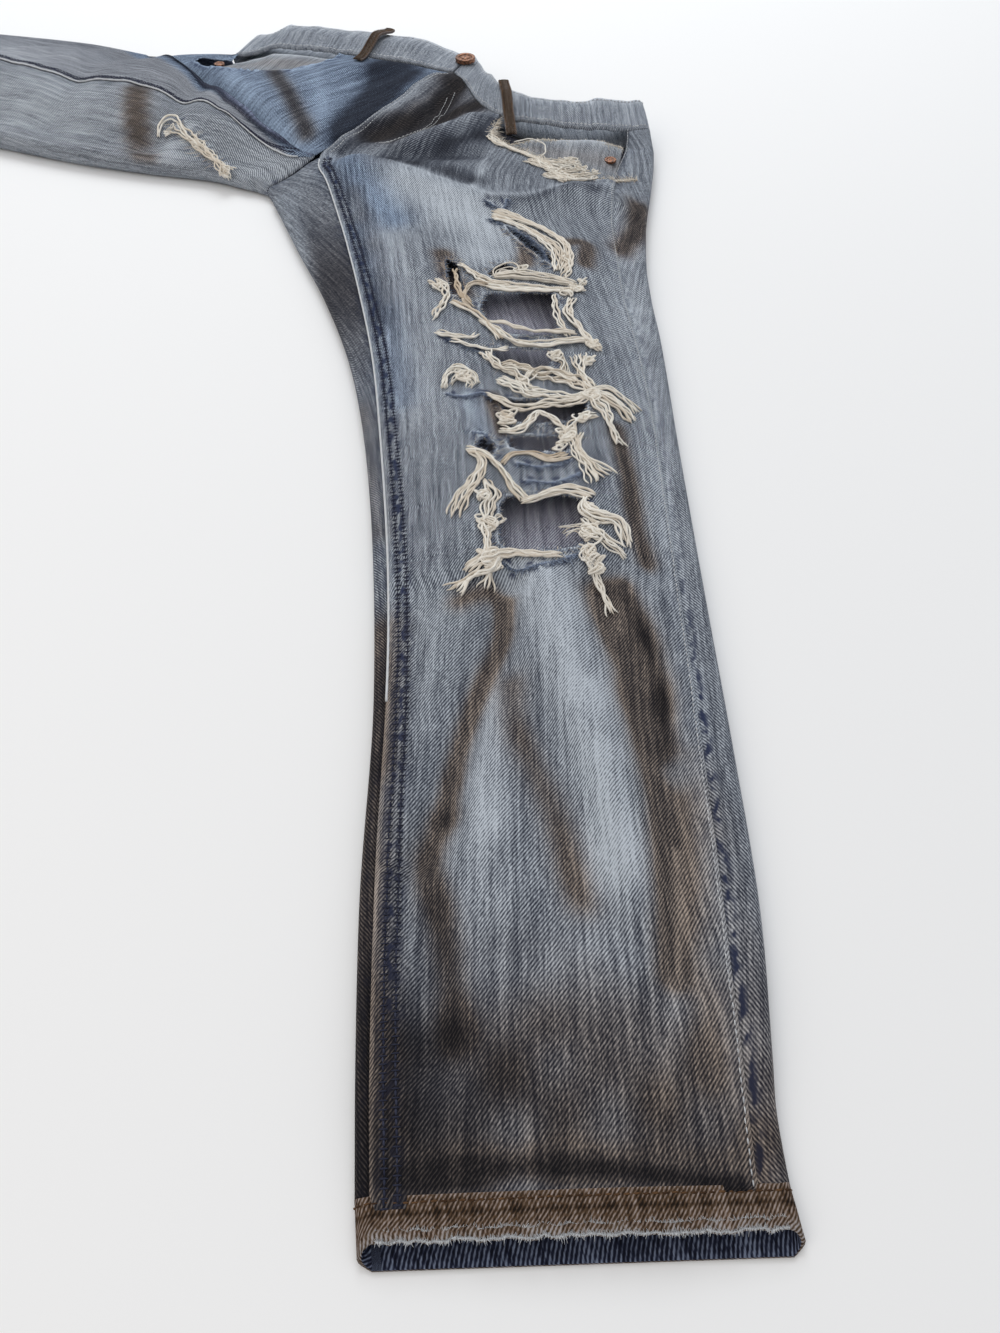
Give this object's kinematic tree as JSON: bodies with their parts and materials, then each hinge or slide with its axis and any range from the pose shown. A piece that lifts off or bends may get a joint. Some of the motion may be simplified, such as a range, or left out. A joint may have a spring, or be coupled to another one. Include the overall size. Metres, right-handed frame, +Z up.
{
  "type": "ripped jeans",
  "caption": "Worn blue-grey jeans laid flat with the front up, ripped down one thigh and knee, the other leg swung out to the side.",
  "frame": {"origin": "under the crotch, on the flat surface that the jeans lie on", "axes": "+Z up from the surface; +Y from the straight left leg's hem towards the waist; +X towards the wearer's left side"},
  "size_m": [0.9384, 1.196, 0.0341],
  "materials": {
    "faded_denim": "worn twill, faded almost white down the thigh",
    "blue_denim": "washed twill",
    "grey_denim": "washed twill, greyer",
    "waistband": "abraded twill",
    "hem": "abraded, browned twill",
    "facing": "grey twill",
    "yarn": "loose cotton yarns",
    "copper": "aged copper"
  },
  "bodies": {
    "root": {"left_front": "faded_denim", "left_back": "blue_denim", "right_front": "blue_denim", "right_back": "grey_denim", "yoke_left": "blue_denim", "yoke_right": "blue_denim", "waistband_left": "waistband", "waistband_right": "waistband", "hem_left": "hem", "hem_right": "hem", "pocket_facing_left": "facing", "pocket_facing_right": "facing", "back_pocket_left": "blue_denim", "back_pocket_right": "blue_denim", "rip_yarns_1": "yarn", "rip_yarns_2": "yarn", "rip_yarns_3": "yarn", "rip_yarns_4": "yarn", "rip_yarns_5": "yarn", "rip_yarns_6": "yarn", "rip_yarns_7": "yarn", "rip_yarns_8": "yarn", "rip_yarns_9": "yarn", "rip_yarns_right_leg": "yarn", "belt_loop_front_left": "waistband", "belt_loop_front_right": "waistband", "belt_loop_back_left": "waistband", "belt_loop_back_middle": "waistband", "belt_loop_back_right": "waistband", "waist_button": "copper", "rivet_left": "copper", "rivet_right": "copper"}
  },
  "joints": []
}
